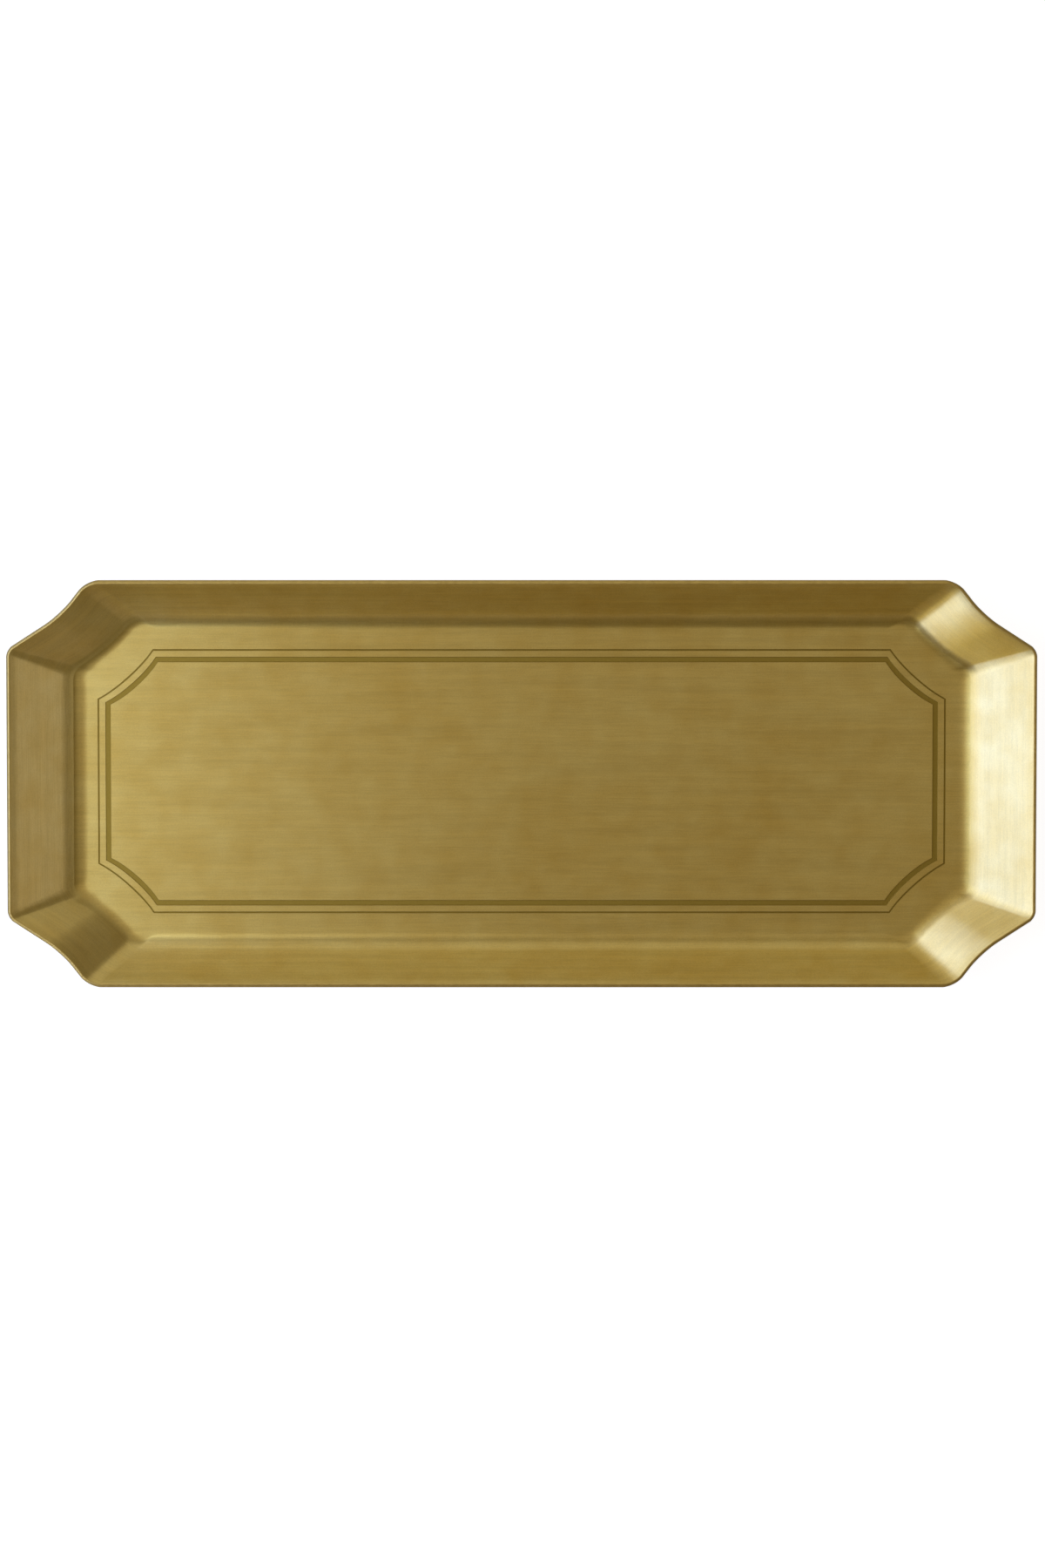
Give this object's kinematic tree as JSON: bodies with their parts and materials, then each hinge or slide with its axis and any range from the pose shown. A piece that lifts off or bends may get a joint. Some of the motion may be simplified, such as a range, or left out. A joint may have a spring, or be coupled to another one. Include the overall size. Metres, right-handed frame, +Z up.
{
  "type": "tray",
  "caption": "Shallow oblong brass desk tray with sloping walls, scooped cut corners and an etched double border.",
  "frame": {"origin": "middle of the flat underside", "axes": "+X along the tray, +Y across it, +Z up out of the open top"},
  "size_m": [0.252, 0.1, 0.012],
  "materials": {
    "brass": "brushed satin, lacquered, lightly tarnished"
  },
  "bodies": {
    "root": {"tray": "brass"}
  },
  "joints": []
}
